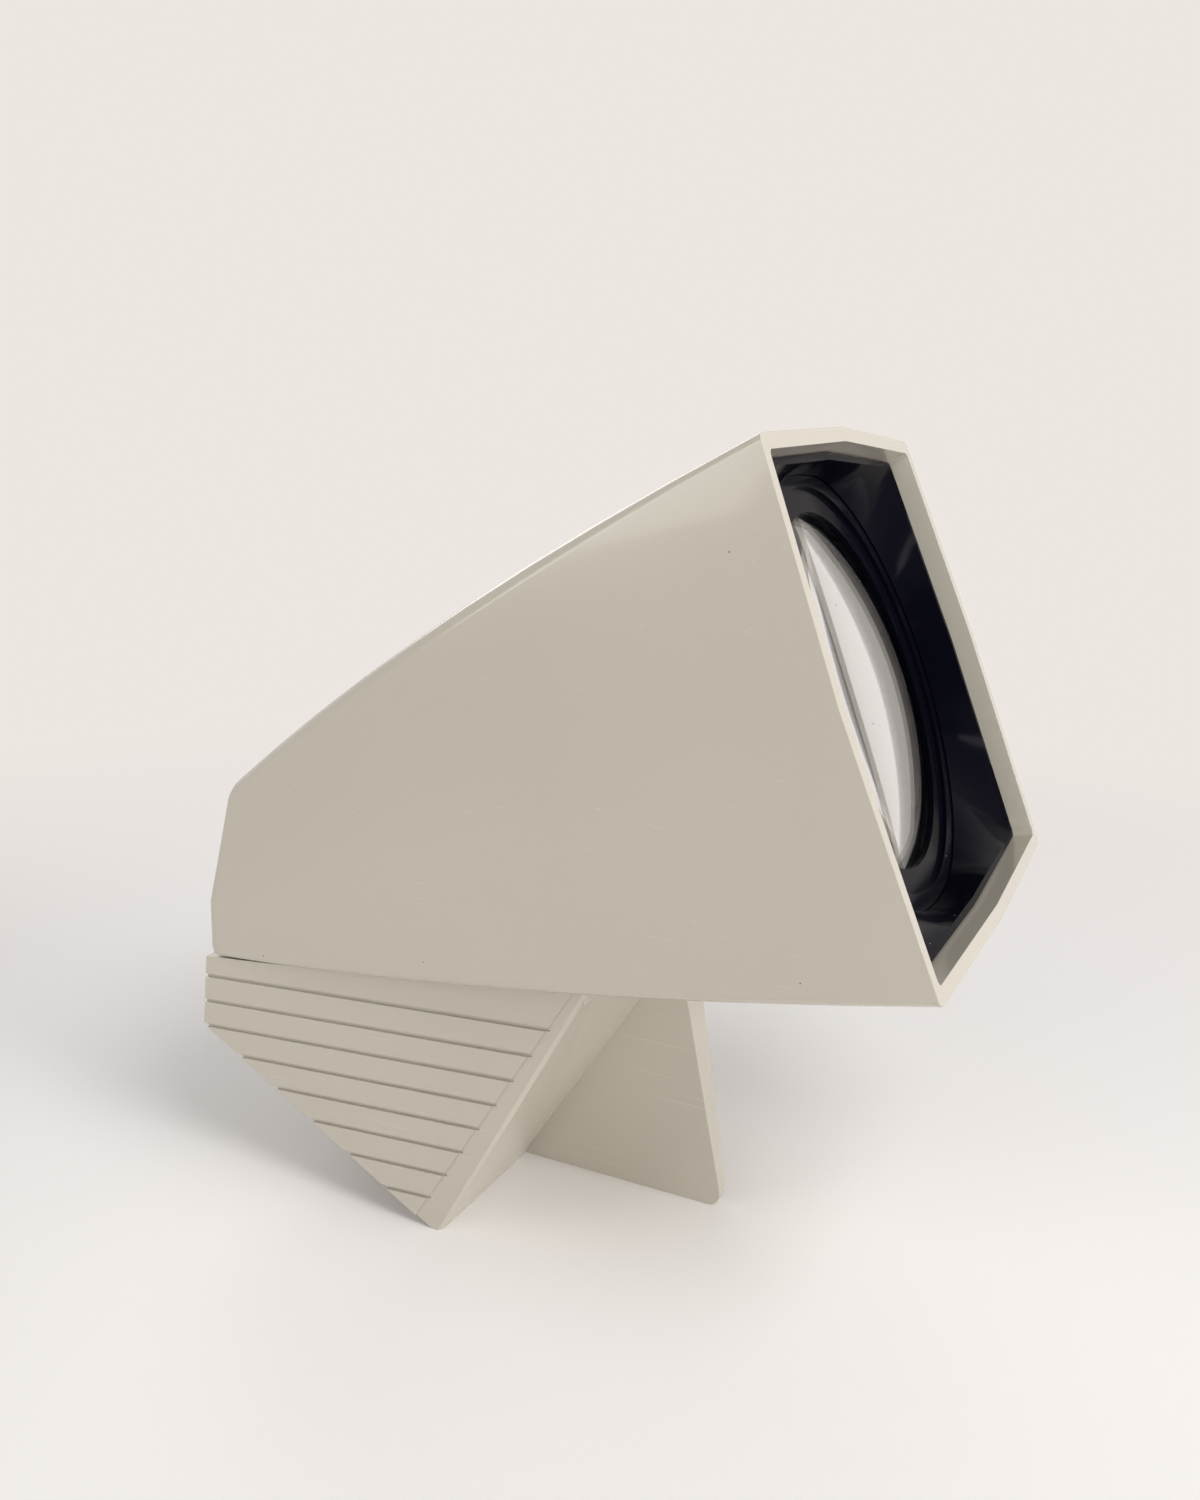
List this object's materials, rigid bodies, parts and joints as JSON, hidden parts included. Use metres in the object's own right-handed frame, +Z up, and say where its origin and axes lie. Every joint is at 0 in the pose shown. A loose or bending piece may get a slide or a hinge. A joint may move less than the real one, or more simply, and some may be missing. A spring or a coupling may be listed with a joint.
{
  "type": "slide viewer",
  "caption": "Battery slide viewer: faceted tapering hood with a large tilted lens, slide slot and lamp gate inside, on a grooved wedge base with a keel and a slide-off battery door.",
  "frame": {"origin": "middle of the outline's footprint, on the surface that the base stands on", "axes": "+X forwards, towards the lens; +Y across, to the viewer's left as seen from behind; +Z up"},
  "size_m": [0.1736, 0.1112, 0.1753],
  "materials": {
    "hood_plastic": "glossy warm grey moulded plastic",
    "base_plastic": "glossy warm grey moulded plastic",
    "liner_plastic": "glossy blue-black plastic",
    "black_plastic": "matt black moulded plastic",
    "lens_plastic": "clear polished acrylic",
    "opal_plastic": "white opal sheet",
    "spring_steel": "bright spring wire and strip",
    "zinc_steel": "zinc plated steel",
    "contact_brass": "bright brass",
    "reflector_sheet": "polished sheet",
    "bulb_glass": "clear glass",
    "cell_case": "plain dark wrap"
  },
  "bodies": {
    "viewer": {"upper_shell": "hood_plastic", "hood_liner": "liner_plastic", "lens_bezel": "liner_plastic", "lens": "lens_plastic", "lens_retainer": "black_plastic", "slide_gate": "black_plastic", "slide_backplate": "black_plastic", "pressure_spring_left": "spring_steel", "pressure_spring_right": "spring_steel", "gate_screw_left": "zinc_steel", "gate_screw_right": "zinc_steel", "diffuser": "opal_plastic", "lifter_spring": "spring_steel", "reflector": "reflector_sheet", "lamp_bulb": "bulb_glass", "lamp_cap": "contact_brass", "lamp_holder": "black_plastic", "lamp_contact": "contact_brass", "switch_leaf": "contact_brass", "base_housing": "base_plastic", "base_screw_left": "zinc_steel", "base_screw_right": "zinc_steel", "battery_cell_rear": "cell_case", "battery_cell_front": "cell_case", "battery_spring_rear": "spring_steel", "battery_spring_front": "spring_steel", "battery_link": "zinc_steel", "terminal_rear": "zinc_steel", "terminal_front": "zinc_steel"},
    "lifter": {"slide_lifter": "black_plastic"},
    "door": {"battery_door": "base_plastic"}
  },
  "joints": [
    {"name": "lifter_press", "type": "slide", "parent": "viewer", "child": "lifter", "axis": [0.3795, 0, -0.9252], "range_m": [0, 0.006], "stiffness_N_per_m": 300, "springref_m": -0.003, "deforming": ["lifter_spring"]},
    {"name": "door_slide", "type": "slide", "parent": "viewer", "child": "door", "axis": [-0.8763, 0, 0.4817], "range_m": [0, 0.06]}
  ]
}
